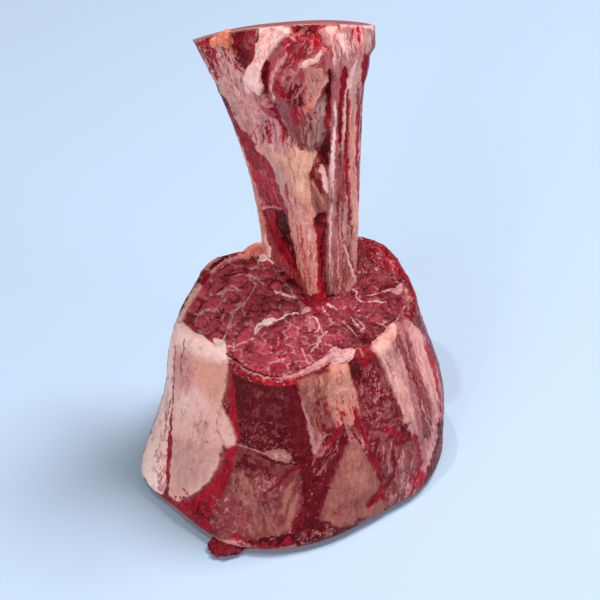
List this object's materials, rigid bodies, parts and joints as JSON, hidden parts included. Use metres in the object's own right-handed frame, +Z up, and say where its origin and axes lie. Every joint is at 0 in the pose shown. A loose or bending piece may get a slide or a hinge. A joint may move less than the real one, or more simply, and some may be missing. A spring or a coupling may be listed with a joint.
{
  "type": "raw beef shank",
  "caption": "Raw shank of beef standing on its broad cut end: a tapered block of meat with the shin bone, scraped clean and flared at the top, rising from the upper cut.",
  "frame": {"origin": "middle of the footprint, on the surface that the meat rests on", "axes": "+Z up along the bone; the pictured side faces -Y; +X is to the right in the picture"},
  "size_m": [0.19, 0.1868, 0.2845],
  "materials": {
    "meat": "moist raw muscle under patches of cream fat and thin pinkish-white silverskin",
    "bone": "scraped bone, moist, with streaks of sinew and red scraps of meat"
  },
  "bodies": {
    "root": {"shank_meat": "meat", "shank_bone": "bone"}
  },
  "joints": []
}
